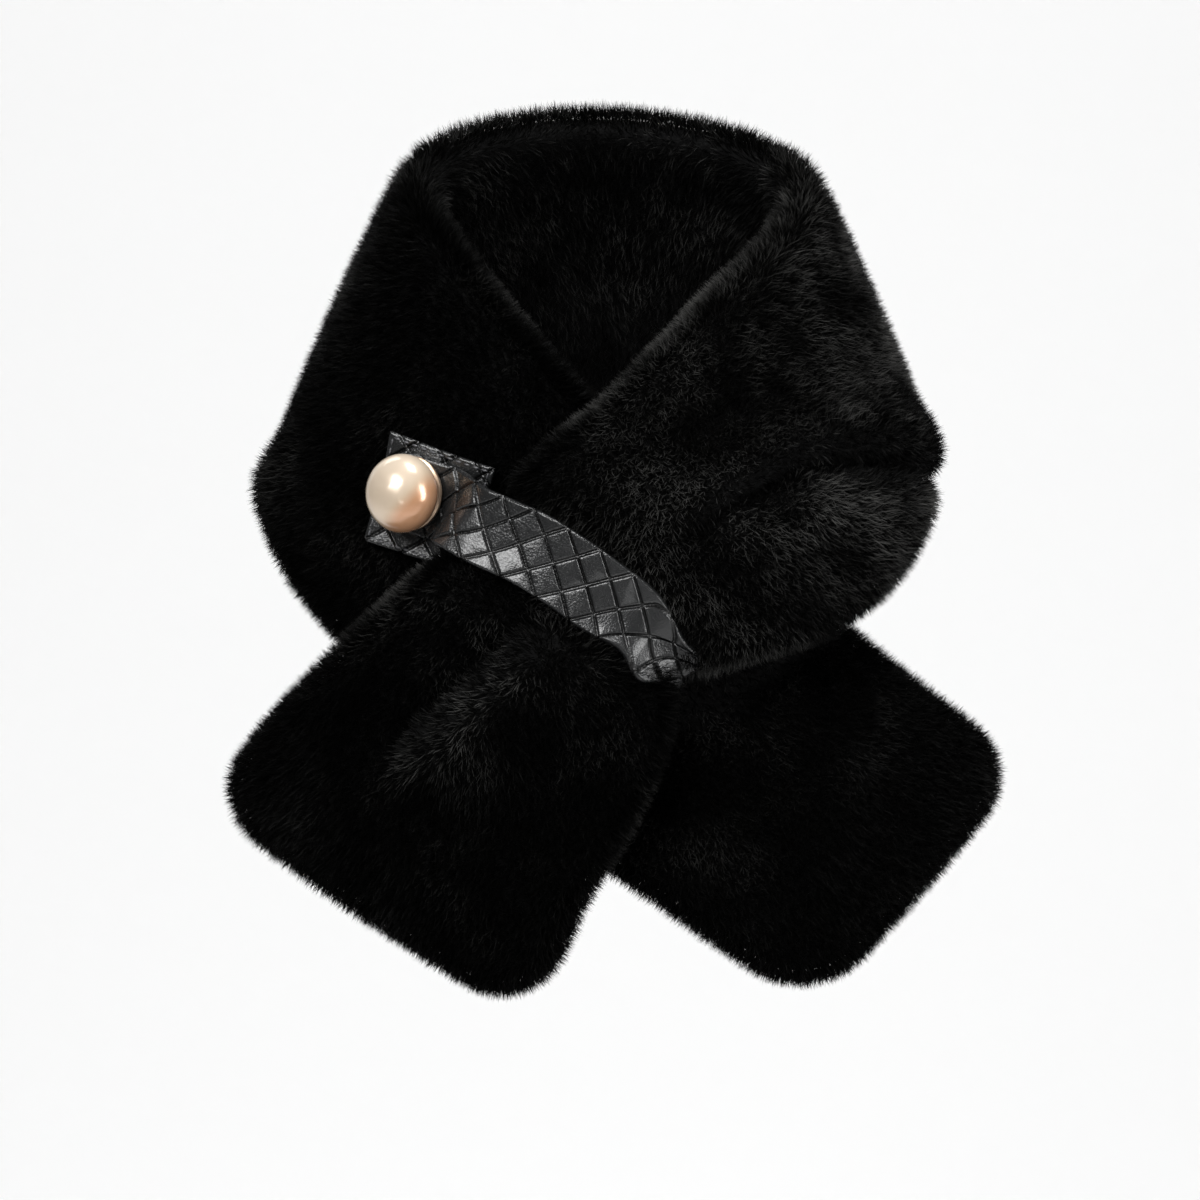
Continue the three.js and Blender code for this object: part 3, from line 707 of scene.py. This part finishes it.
STRETCHES = [
    ("fur_under_tail", 0, 150),
    ("fur_right_side", 150, 320),
    ("fur_nape", 320, 560),
    ("fur_left_side", 560, 773),
    ("fur_over_tail", 773, BAND_LENGTH),
]
PILE_DENSITY = 2.4e6
PILE_RUFFLE = 0.8
PILE_STRAY = 0.36
FIRST_SEED = 11
quad_length = point_length[all_quads].mean(axis=1)
pile_group = pile_tree()
for number, (name, start, end) in enumerate(STRETCHES):
    chosen = all_quads[(quad_length >= start) & (quad_length < end)]
    used, renumbered = np.unique(chosen, return_inverse=True)
    ground = mesh_object(name + "_ground", backing_points[used], renumbered.reshape(-1, 4))
    ground.data.shade_smooth()
    for label, values in (("cover", cover), ("pile", pile), ("painted_sheen_and_shade", painted_sheen_and_shade)):
        store(ground, label, values[used])
    for label, values in (("nap", nap), ("place", place)):
        store(ground, label, values[used], "FLOAT_VECTOR")
    mesh = run_tree(
        ground,
        pile_group,
        Strand=strand,
        Density=PILE_DENSITY,
        Ruffle=PILE_RUFFLE,
        Stray=PILE_STRAY,
        Seed=FIRST_SEED + number,
        Material=fur_black,
    )
    bpy.data.objects.remove(ground)
    mesh.name = name
    mesh.shade_smooth()
    fur = scene_object(name, mesh)
    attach(fur, "root")
bpy.data.objects.remove(strand)


# The patch and the strap. They are cut from one glossy black leather, embossed with a lattice of square
# cells that stand on their corners. The patch is stitched to the outer panel round its border. The strap is
# round under the pearl, crosses the over band, and goes round its hem to where it is sewn in.
LATTICE_PITCH = 13.5
LATTICE_RELIEF = 0.6
LEATHER_STEP = 0.34
UNDERSIDE_SKIP = 3
SEAT_GAP = 1
PATCH_THICKNESS = 1.8
PATCH_SIDE = 11 * LATTICE_PITCH / 4
STRAP_WIDTH = 27
STRAP_THICKNESS = 2
STRAP_LENGTH = 158
ON_PATCH = SEAT_GAP + PATCH_THICKNESS + LATTICE_RELIEF + SEAT_GAP
PEARL_ALONG, PEARL_ACROSS = 229, 67
GROOVE_WIDTH = 0.85
GROOVE_DEPTH = 1.0
CROWN = 0.26
TILT = 1.4

leather, tree, shader = new_material(
    "embossed_leather",
    (0.02, 0.021, 0.023),
    {"Roughness": 0.36, "Coat Weight": 0.3, "Coat Roughness": 0.14, "Specular IOR Level": 0.5},
)
worn = object_noise(tree, 160, 3)
# The grooves are painted near black, as painted shade in the recesses; the worn noise varies the plates at
# random.
colour_by(
    shader,
    math_node(tree, "MULTIPLY_ADD", worn, 0.5, point_value(tree, "groove")),
    (0.2, (0.014, 0.0145, 0.015)),
    (0.5, (0.008, 0.0083, 0.0085)),
    (1.0, (0.0003, 0.0003, 0.0003)),
)
pores = node(tree, "ShaderNodeTexVoronoi", {"Scale": 1600})
grain_place = node(tree, "ShaderNodeTexCoord")
tree.links.new(grain_place.outputs["Object"], pores.inputs["Vector"])
wrinkles = object_noise(tree, 700, 4)
grain = math_node(tree, "ADD", pores.outputs["Distance"], wrinkles)
bump = node(tree, "ShaderNodeBump", {"Strength": 0.35, "Distance": 0.0003})
tree.links.new(grain, bump.inputs["Height"])
tree.links.new(bump.outputs["Normal"], shader.inputs["Normal"])
gloss = node(tree, "ShaderNodeMapRange", {"To Min": 0.2, "To Max": 0.33})
tree.links.new(wrinkles, gloss.inputs["Value"])
matt = math_node(tree, "MULTIPLY_ADD", point_value(tree, "dull"), 0.05, gloss.outputs["Result"])
tree.links.new(matt, shader.inputs["Roughness"])


def lattice(x, y, tilting=1.0):
    """Relief of the embossing, and how far into a groove a place is, from 0 to 1.

    Each cell is gently crowned, and tilts its own way by chance, as on worn leather.
    """
    spacing = LATTICE_PITCH / math.sqrt(2)
    runs = [(x + y) / math.sqrt(2) / spacing, (x - y) / math.sqrt(2) / spacing]
    gap = spacing * np.minimum(*[np.abs(run - np.round(run)) for run in runs])
    plate = smooth(gap / GROOVE_WIDTH)
    crown = 1 - (1 - np.clip(2 * gap / spacing, 0, 1)) ** 2
    cells = [np.floor(run) for run in runs]
    tilt = 0
    for run, cell, key in zip(runs, cells, (12.99, 39.35)):
        chance = np.sin(cells[0] * key + cells[1] * 78.23) * 4375.85
        tilt = tilt + (chance - np.floor(chance) - 0.5) * (run - cell - 0.5)
    relief = LATTICE_RELIEF - GROOVE_DEPTH * (1 - plate) - CROWN * (1 - crown)
    relief = relief + TILT * tilting * tilt * plate
    return relief, 1 - smooth((gap - 0.2) / (0.7 * GROOVE_WIDTH))


def leather_piece(name, top, bottom, groove, dull):
    """A closed piece between two sheets of points. It keeps the groove's depth and how dull it is."""
    bottom = bottom[::UNDERSIDE_SKIP, ::UNDERSIDE_SKIP]
    upper = np.arange(groove.size).reshape(groove.shape)
    lower = groove.size + np.arange(bottom.shape[0] * bottom.shape[1]).reshape(bottom.shape[:2])
    faces = grid_faces(upper, False).tolist() + grid_faces(lower, True).tolist()
    ring, low_ring = (
        np.concatenate([sheet[0, :-1], sheet[:-1, -1], sheet[-1, :0:-1], sheet[:0:-1, 0]])
        for sheet in (upper, lower)
    )
    for k, low in enumerate(low_ring):
        walls = [ring[(k * UNDERSIDE_SKIP + j) % len(ring)] for j in range(UNDERSIDE_SKIP + 1)]
        faces.append([*walls, low_ring[(k + 1) % len(low_ring)], low])
    made = mesh_object(name, np.vstack([top.reshape(-1, 3), bottom.reshape(-1, 3)]), faces)
    for label, values in (("groove", groove), ("dull", dull)):
        store(made, label, np.concatenate([values.ravel(), np.zeros(lower.size)]))
    shape = bmesh.new()
    shape.from_mesh(made.data)
    bmesh.ops.remove_doubles(shape, verts=shape.verts, dist=1e-6)
    shape.to_mesh(made.data)
    shape.free()
    made.data.materials.append(leather)
    made.data.shade_smooth()
    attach(made, "root")
    return made


def rounded_edge(from_side, radius=0.9):
    """How far the top sinks at a cut edge."""
    near = np.clip(1 - from_side / radius, 0, 1)
    return radius * (1 - np.sqrt(1 - near**2))


def on_patch(x, y, lift):
    """A point over the patch's place on the band. x and y are from the middle, along its sides."""
    length = PATCH_ALONG + x * math.cos(turn) - y * math.sin(turn)
    distance = PATCH_ACROSS + x * math.sin(turn) + y * math.cos(turn)
    return face_point(length, distance, 1, lift)


patch_parts = UNDERSIDE_SKIP * round(PATCH_SIDE / LEATHER_STEP / UNDERSIDE_SKIP)
patch_steps = np.linspace(0, PATCH_SIDE, patch_parts + 1)
px, py = np.meshgrid(patch_steps, patch_steps, indexing="ij")
offset_x, offset_y = px - PATCH_SIDE / 2, py - PATCH_SIDE / 2
relief, groove_depth = lattice(px, py)
from_side = np.minimum(np.minimum(px, PATCH_SIDE - px), np.minimum(py, PATCH_SIDE - py))
patch_lift = SEAT_GAP + PATCH_THICKNESS + relief - rounded_edge(from_side)
patch_top = on_patch(offset_x, offset_y, patch_lift)
patch_bottom = on_patch(offset_x, offset_y, SEAT_GAP)
patch = leather_piece("leather_patch", patch_top, patch_bottom, groove_depth, np.zeros(px.shape))
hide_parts("patch")

# The middle of the strap. along and across are the place on the band under it, from_hem the distance from
# the hem instead of across, lean turns the strap's width from the band's length, and lift is its distance
# from the pile of the outer face (face 1), the hem's rim (0) or the inner face (-1). wide is the part of
# its width that is left where the hem squeezes it. At the hem it sinks into the pile.
Route = namedtuple("Route", "at face along across from_hem lean lift wide")
STRAP_ROUTE = [
    Route("past the pearl", 1, 241, 73, None, -67, ON_PATCH, 1),
    Route("under the pearl", 1, PEARL_ALONG, PEARL_ACROSS, None, -67, ON_PATCH, 1),
    Route("on the patch", 1, 218, 61, None, -67, ON_PATCH + 0.3, 1),
    Route("over the neck edge", 1, 779, -1, None, 185, 4, 1),
    Route("on the over band", 1, 777, 10, None, 195, 1, 1),
    Route("on the over band", 1, 774, 23, None, 199, SEAT_GAP, 1),
    Route("on the over band", 1, 773, 36, None, 199, SEAT_GAP, 1),
    Route("on the over band", 1, 773, 52, None, 199, SEAT_GAP, 1),
    Route("on the over band", 1, 775, 68, None, 192, SEAT_GAP, 0.97),
    Route("on the over band", 1, 777, None, 16, 180, -0.9, 0.84),
    Route("over the hem", 1, 777.5, None, 5, 180, -2.7, 0.7),
    Route("round the hem", 0, 778, None, -0.5, 180, 0, 0.64),
    Route("behind the hem", -1, 777, None, 6, 180, -2.5, 0.7),
    Route("between the bands", -1, 776, None, 16, 180, SEAT_GAP, 0.84),
    Route("sewn end", -1, 776, None, 30, 180, SEAT_GAP, 0.9),
]


def strap_rail(offset):
    """One long edge of the strap, or its middle."""

    def point_at(place, aside):
        turn = math.radians(place.lean)
        length = np.array([place.along + aside * math.cos(turn)])
        if place.from_hem is None:
            distance = np.array([place.across + aside * math.sin(turn)])
        else:
            distance = width_at(length) - place.from_hem
        return face_point(length, distance, place.face, place.lift)[0]

    points = []
    for place in STRAP_ROUTE:
        aside = place.wide * offset
        reached = np.linalg.norm(point_at(place, aside) - point_at(place, 0))
        points.append(point_at(place, aside * abs(aside) / reached if reached > 0 else 0))
    return points


STRAP_RAILS = [strap_rail(side * STRAP_WIDTH / 2) for side in (-1, 0, 1)]


def strap_point(share, v):
    """A point of the strap's under face. v goes from -1 at the lower edge to 1 at the upper edge."""
    v = v[..., None]
    parts = (v * (v - 1) / 2, 1 - v * v, v * (v + 1) / 2)
    return sum(part * rail(points, share) for part, points in zip(parts, STRAP_RAILS))


route_shares = np.linspace(0, 1, 801)
route_line = rail(STRAP_RAILS[1], route_shares)
route_lengths = np.concatenate([[0], np.cumsum(np.linalg.norm(np.diff(route_line, axis=0), axis=1))])
strap_half = STRAP_WIDTH / 2
ROUND_ROWS = 24
round_end = strap_half * (1 - np.cos(np.linspace(0, math.pi / 2, ROUND_ROWS)[:-1]))
straight = np.linspace(strap_half, STRAP_LENGTH, round((STRAP_LENGTH - strap_half) / LEATHER_STEP))
strap_rows = np.concatenate([round_end, straight])
strap_rows = strap_rows[(len(strap_rows) - 1) % UNDERSIDE_SKIP:]
strap_parts = UNDERSIDE_SKIP * round(STRAP_WIDTH / LEATHER_STEP / UNDERSIDE_SKIP)
strap_columns = np.linspace(-strap_half, strap_half, strap_parts + 1)
row, column = np.meshgrid(strap_rows, strap_columns, indexing="ij")
share = np.interp(row, route_lengths, route_shares)
narrowing = np.sqrt(strap_half**2 - (strap_half - np.minimum(row, strap_half)) ** 2) / strap_half
v = column / strap_half * narrowing
under = strap_point(share, v)
step_on, step_aside = 2e-3, 0.05
ahead = strap_point(np.minimum(share + step_on, 1), v) - strap_point(np.maximum(share - step_on, 0), v)
over = strap_point(share, v + step_aside) - strap_point(share, v - step_aside)
strap_out = unit(np.cross(ahead, over))

# Towards the hem the cells lie flat and the leather is duller.
HEM_ROW, HEM_FADE = 92, 14
at_hem = smooth((row - HEM_ROW) / HEM_FADE)
relief, groove_depth = lattice(row - strap_half, column, 1 - at_hem)
from_side = np.minimum(strap_half - np.abs(column), STRAP_LENGTH - row)
rise = STRAP_THICKNESS + relief - rounded_edge(from_side)
strap = leather_piece("leather_strap", under + strap_out * rise[..., None], under, groove_depth, at_hem)
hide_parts("strap")


# The stitches. They are of waxed black thread, in a row round the patch a short way in from its border, and
# hold it down on the outer panel.
STITCH_PITCH = 3.1
STITCH_INSET = 1.7
STITCH_HALF_LENGTH = 1.15
THREAD_RADIUS = 0.42
thread, tree, shader = new_material("waxed_thread", (0.05, 0.05, 0.055), {"Roughness": 0.3})
twist = object_noise(tree, 2500)
colour_by(shader, twist, (0.3, (0.01, 0.01, 0.011)), (0.7, (0.13, 0.13, 0.14)))


def stitch_tree():
    """Short capsules of thread along a line of points that carry their own directions."""
    tree = new_tree("stitches", {"Stitch length": "Float", "Thread": "Float", "Material": "Material"})
    link = tree.links.new
    given = node(tree, "NodeGroupInput")
    ball = node(tree, "GeometryNodeMeshUVSphere", {"Segments": 8, "Rings": 6})
    link(given.outputs["Thread"], ball.inputs["Radius"])
    long = math_node(tree, "DIVIDE", given.outputs["Stitch length"], given.outputs["Thread"])
    size = node(tree, "ShaderNodeCombineXYZ", {"X": 1, "Y": 1})
    link(long, size.inputs["Z"])
    laid = node(tree, "FunctionNodeAxesToRotation", primary_axis="Z", secondary_axis="X")
    link(named_attribute(tree, "way", "FLOAT_VECTOR"), laid.inputs["Primary Axis"])
    placed = node(tree, "GeometryNodeInstanceOnPoints")
    link(given.outputs["Geometry"], placed.inputs["Points"])
    link(ball.outputs["Mesh"], placed.inputs["Instance"])
    link(laid.outputs["Rotation"], placed.inputs["Rotation"])
    link(size.outputs["Vector"], placed.inputs["Scale"])
    real = node(tree, "GeometryNodeRealizeInstances")
    link(placed.outputs["Instances"], real.inputs["Geometry"])
    dressed = node(tree, "GeometryNodeSetMaterial")
    link(real.outputs["Geometry"], dressed.inputs["Geometry"])
    link(given.outputs["Material"], dressed.inputs["Material"])
    result = node(tree, "NodeGroupOutput")
    link(dressed.outputs["Geometry"], result.inputs["Geometry"])
    return tree


side = PATCH_SIDE - 2 * STITCH_INSET
count = round(side / STITCH_PITCH)
run = (np.arange(4 * count) + 0.5) * side / count
leg, rest = np.divmod(run, side)
leg = leg.astype(int)
way_x, way_y = np.array([1, 0, -1, 0])[leg], np.array([0, 1, 0, -1])[leg]
stitch_x = np.array([0, 1, 1, 0])[leg] * side + way_x * rest
stitch_y = np.array([0, 0, 1, 1])[leg] * side + way_y * rest
stitch_lift = SEAT_GAP + PATCH_THICKNESS + LATTICE_RELIEF
here = on_patch(stitch_x - side / 2, stitch_y - side / 2, stitch_lift)
ahead = on_patch(stitch_x + way_x * 0.5 - side / 2, stitch_y + way_y * 0.5 - side / 2, stitch_lift)
holes = mesh_object("stitch_holes", here, [])
store(holes, "way", ahead - here, "FLOAT_VECTOR")
stitch_values = {
    "Stitch length": STITCH_HALF_LENGTH * MM,
    "Thread": THREAD_RADIUS * MM,
    "Material": thread,
}
stitches = scene_object("patch_stitches", run_tree(holes, stitch_tree(), **stitch_values))
bpy.data.objects.remove(holes)
stitches.data.name = "patch_stitches"
stitches.data.materials.pop(index=0)
stitches.data.shade_smooth()
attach(stitches, "root")


# The button. It is the cap of a snap: a champagne pearl dome with a soft lustre, set on a thin base with
# warm plating. It is fixed to the strap's round end, and pressed shut on the patch.
PEARL_DIAMETER = 26.4
PEARL_FOOT_DIAMETER = 22
PEARL_HEIGHT = 17
PEARL_WIDEST = 5
BASE_DIAMETER = 25.2
BASE_THICKNESS = 1.5
BASE_CHAMFER = 0.3
BUTTON_SIDES = 72
PEARL_GAP = 0.85
BASE_LIFT = ON_PATCH + STRAP_THICKNESS + SEAT_GAP
PEARL_LIFT = BASE_LIFT + BASE_THICKNESS + PEARL_GAP
button_length, button_distance = np.array([float(PEARL_ALONG)]), np.array([float(PEARL_ACROSS)])
button_axes = [axis[0] for axis in band_axes(button_length, button_distance)]


def turned_piece(name, profile, lift, material, replaced):
    """A piece turned round the button's axis. The profile's rows are radius and height."""
    foot = face_point(button_length, button_distance, 1, lift)[0]
    points = [foot + button_axes[2] * profile[0][1]]
    angles = np.linspace(0, 2 * math.pi, BUTTON_SIDES, endpoint=False)
    ring_way = np.cos(angles)[:, None] * button_axes[0] + np.sin(angles)[:, None] * button_axes[1]
    for radius, height in profile[1:-1]:
        points.extend(foot + button_axes[2] * height + ring_way * radius)
    points.append(foot + button_axes[2] * profile[-1][1])
    last = len(points) - 1
    faces = []
    for i in range(BUTTON_SIDES):
        j = (i + 1) % BUTTON_SIDES
        faces.append((0, 1 + j, 1 + i))
        for k in range(len(profile) - 3):
            a = 1 + k * BUTTON_SIDES
            faces.append((a + i, a + j, a + BUTTON_SIDES + j, a + BUTTON_SIDES + i))
        a = last - BUTTON_SIDES
        faces.append((a + i, a + j, last))
    made = mesh_object(name, points, faces)
    made.data.materials.append(material)
    made.data.shade_smooth()
    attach(made, "root")
    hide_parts(replaced)
    return made


plating, tree, shader = new_material(
    "warm_plating", (0.55, 0.4, 0.28), {"Roughness": 0.34, "Metallic": 0.9}
)
brushed = object_noise(tree, 400)
colour_by(shader, brushed, (0.3, (0.5, 0.36, 0.25)), (0.7, (0.6, 0.45, 0.33)))
base_radius = BASE_DIAMETER / 2
base_profile = [
    (0, 0),
    (base_radius - BASE_CHAMFER, 0),
    (base_radius, BASE_CHAMFER),
    (base_radius, BASE_THICKNESS - BASE_CHAMFER),
    (base_radius - BASE_CHAMFER, BASE_THICKNESS),
    (0, BASE_THICKNESS),
]
turned_piece("button_base", base_profile, BASE_LIFT, plating, "pearl_base")

lustre, tree, shader = new_material(
    "pearl_lustre",
    (0.7, 0.52, 0.38),
    {
        "Roughness": 0.26,
        "Metallic": 0.25,
        "Coat Weight": 0.8,
        "Coat Roughness": 0.12,
        "Specular IOR Level": 0.6,
    },
)
nacre = object_noise(tree, 60, 3)
# The lower right side is painted darker and peach, as painted shade and a painted glow through the nacre.
colour_by(
    shader,
    math_node(tree, "MULTIPLY_ADD", nacre, 0.4, point_value(tree, "painted_shade_and_glow")),
    (0.1, (0.73, 0.61, 0.48)),
    (0.4, (0.66, 0.52, 0.38)),
    (0.9, (0.58, 0.31, 0.17)),
)
waves = object_noise(tree, 120, 1)
wavy = node(tree, "ShaderNodeBump", {"Strength": 0.6, "Distance": 0.001})
tree.links.new(waves, wavy.inputs["Height"])
tree.links.new(wavy.outputs["Normal"], shader.inputs["Normal"])
tree.links.new(wavy.outputs["Normal"], shader.inputs["Coat Normal"])
PEARL_RINGS = 28
foot_angle = math.acos(PEARL_FOOT_DIAMETER / PEARL_DIAMETER)
pearl_profile = [(0, 0)]
for angle in np.linspace(-foot_angle, math.pi / 2, PEARL_RINGS):
    depth = PEARL_WIDEST / math.sin(foot_angle) if angle < 0 else PEARL_HEIGHT - PEARL_WIDEST
    pearl_profile.append((PEARL_DIAMETER / 2 * math.cos(angle), PEARL_WIDEST + depth * math.sin(angle)))
dome = turned_piece("pearl_dome", pearl_profile, PEARL_LIFT, lustre, "pearl")

# Its lower right side, away from the main lamp, is painted darker and peach: painted shade, and a painted
# glow of light coming through the nacre.
SHADED_SIDE_WAY = Vector((0.75, -0.1, -0.65))
SHADED_SIDE_STRENGTH = 0.8
pearl_middle = sum((v.co for v in dome.data.vertices), Vector()) / len(dome.data.vertices)
sides = [(v.co - pearl_middle).normalized().dot(SHADED_SIDE_WAY) for v in dome.data.vertices]
store(dome, "painted_shade_and_glow", SHADED_SIDE_STRENGTH * smooth((np.array(sides) + 0.05) / 0.85))


# The stage. It is a plain pale floor of paper that curves up behind, soft studio light from above, from the
# right and from the front, and a wash of light on the paper behind.
def area_light(name, place, aim, size, power):
    data = bpy.data.lights.new(name, "AREA")
    data.shape = "RECTANGLE"
    data.size, data.size_y = size
    data.energy = power
    lamp = scene_object(name, data)
    lamp.location = place
    lamp.rotation_euler = (Vector(aim) - Vector(place)).to_track_quat("-Z", "Y").to_euler()


FLOOR = -0.9
FLOOR_HALF = 4
CURVE_START, CURVE_RADIUS = 1.5, 1.2
paper, tree, shader = new_material("pale_paper", (0.9, 0.9, 0.9), {"Roughness": 0.9})
profile = [(-FLOOR_HALF, 0), (CURVE_START, 0)]
for angle in np.linspace(0.1, math.pi / 2, 12):
    rise = CURVE_RADIUS - CURVE_RADIUS * math.cos(angle)
    profile.append((CURVE_START + CURVE_RADIUS * math.sin(angle), rise))
profile.append((CURVE_START + CURVE_RADIUS, FLOOR_HALF))
stage_points = [
    (x / MM, y / MM, (FLOOR + z) / MM) for y, z in profile for x in (-FLOOR_HALF, FLOOR_HALF)
]
stage_faces = [(2 * i, 2 * i + 1, 2 * i + 3, 2 * i + 2) for i in range(len(profile) - 1)]
backdrop = mesh_object("backdrop", stage_points, stage_faces)
backdrop.data.materials.append(paper)
backdrop.data.shade_smooth()

area_light("main", (-0.72, -1.3, 1.28), (0, -0.05, 0), (1.05, 0.9), 38)
area_light("right", (1.65, -0.9, 0.3), (0, -0.05, 0), (0.5, 1.1), 18)
area_light("top", (0.5, 0.15, 1.65), (0, 0, 0), (0.8, 0.5), 27)
area_light("front", (-0.05, -2.3, -0.15), (0, -0.1, 0), (0.45, 0.3), 1.5)
area_light("back wash", (0, 1.8, 1.6), (0, 2.5, -0.6), (3.5, 1.2), 30)
world = bpy.data.worlds.new("studio")
world.use_nodes = True
world.node_tree.nodes["Background"].inputs["Color"].default_value = (1, 1, 1, 1)
world.node_tree.nodes["Background"].inputs["Strength"].default_value = 0.06
bpy.context.scene.world = world
bpy.context.scene.view_settings.view_transform = "Standard"

CAMERA_TILT = 90 - 18
camera_data = bpy.data.cameras.new("camera")
camera_data.lens = 182.3
camera_data.sensor_width = 36
camera = scene_object("camera", camera_data)
camera.location = (-0.005, -2.092, 0.634)
camera.rotation_euler = (math.radians(CAMERA_TILT), 0, 0)
bpy.context.scene.camera = camera
